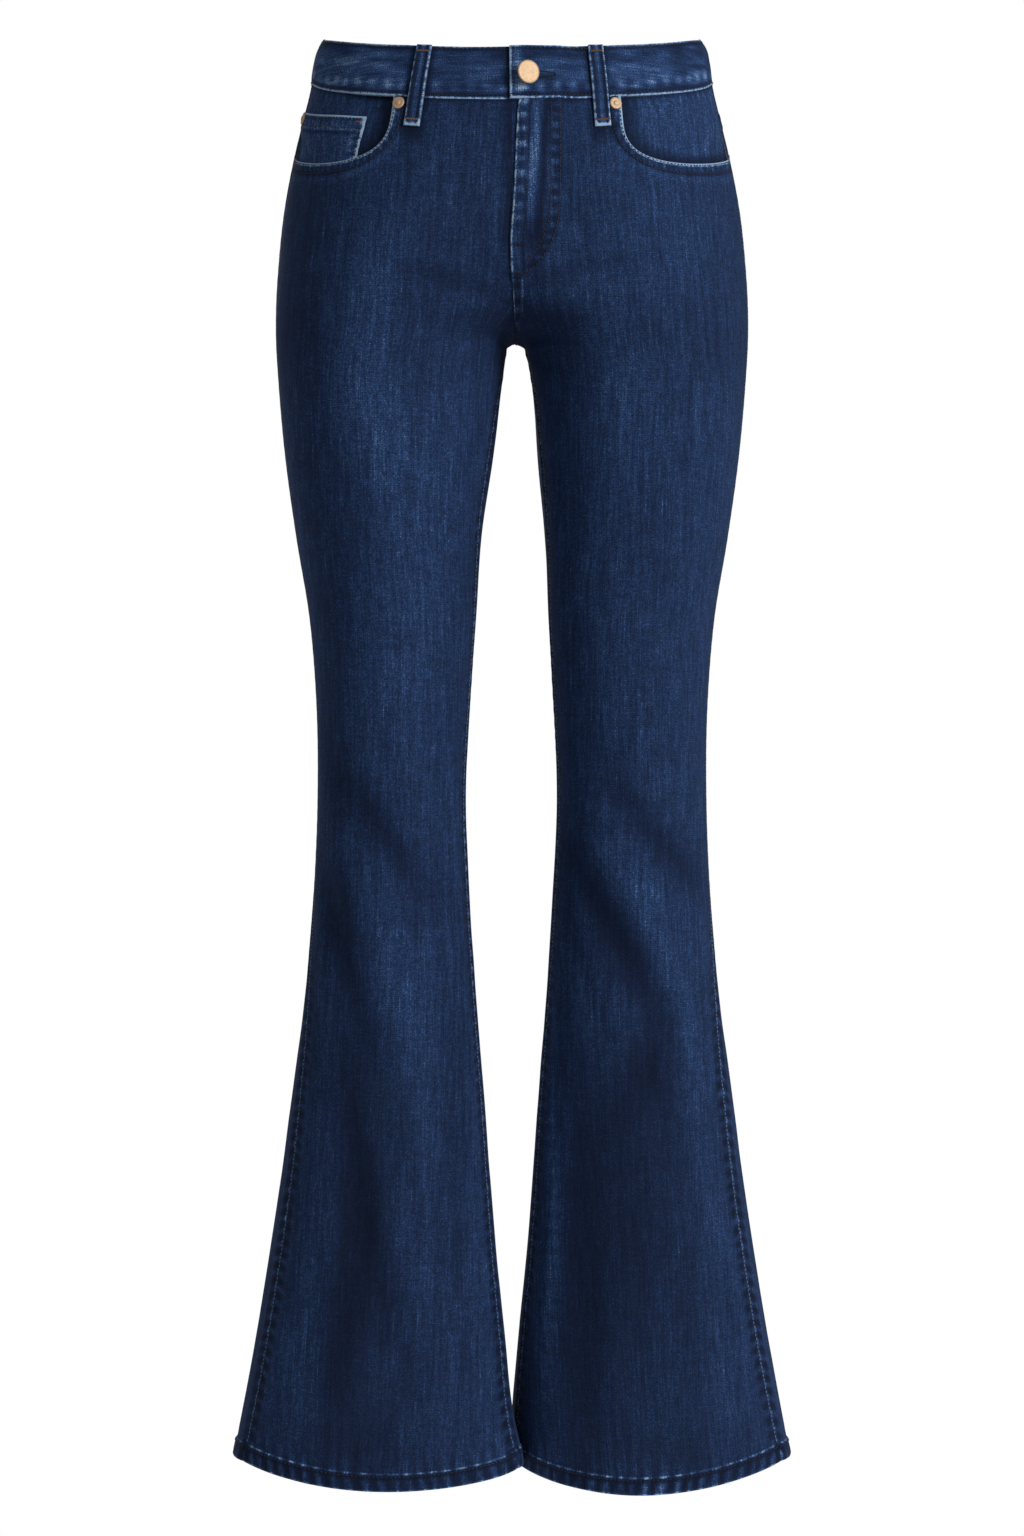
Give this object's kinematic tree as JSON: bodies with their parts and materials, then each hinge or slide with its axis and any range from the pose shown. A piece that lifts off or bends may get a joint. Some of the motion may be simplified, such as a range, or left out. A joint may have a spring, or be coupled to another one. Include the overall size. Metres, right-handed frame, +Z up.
{
  "type": "bootcut jeans",
  "caption": "Long jeans with a fitted seat and thighs, legs that flare from the knee to a wide hem, a buttoned waistband with belt loops, curved hip pockets and a fly.",
  "frame": {"origin": "middle of the waistband's ring, at the side seams' mid height, where the garment is held up", "axes": "+Z up, the legs hang towards -Z; the front faces -Y; the wearer's left side is at +X"},
  "size_m": [0.4231, 0.2455, 1.1024],
  "materials": {
    "denim_front": "dark indigo stretch denim, soft and matte",
    "denim_back": "dark indigo stretch denim, soft and matte",
    "denim_yoke": "dark indigo stretch denim, soft and matte",
    "denim_waistband": "dark indigo stretch denim, doubled, matte",
    "denim_trim": "dark indigo stretch denim, a little worn and lighter",
    "denim_facing": "dark indigo stretch denim, matte",
    "pale_gold_metal": "plain pale gold plating, satin"
  },
  "bodies": {
    "root": {"front_right": "denim_front", "back_right": "denim_back", "yoke_right": "denim_yoke", "pocket_facing_right": "denim_facing", "back_pocket_right": "denim_trim", "front_left": "denim_front", "back_left": "denim_back", "yoke_left": "denim_yoke", "pocket_facing_left": "denim_facing", "back_pocket_left": "denim_trim", "coin_pocket": "denim_trim", "fly": "denim_trim", "waistband_right": "denim_waistband", "waistband_left": "denim_waistband", "waistband_back": "denim_waistband", "belt_loop_front_right": "denim_trim", "belt_loop_front_left": "denim_trim", "belt_loop_back_right": "denim_trim", "belt_loop_back_left": "denim_trim", "belt_loop_back_centre": "denim_trim", "button": "pale_gold_metal", "rivet_right": "pale_gold_metal", "rivet_left": "pale_gold_metal", "rivet_coin_pocket": "pale_gold_metal"}
  },
  "joints": []
}
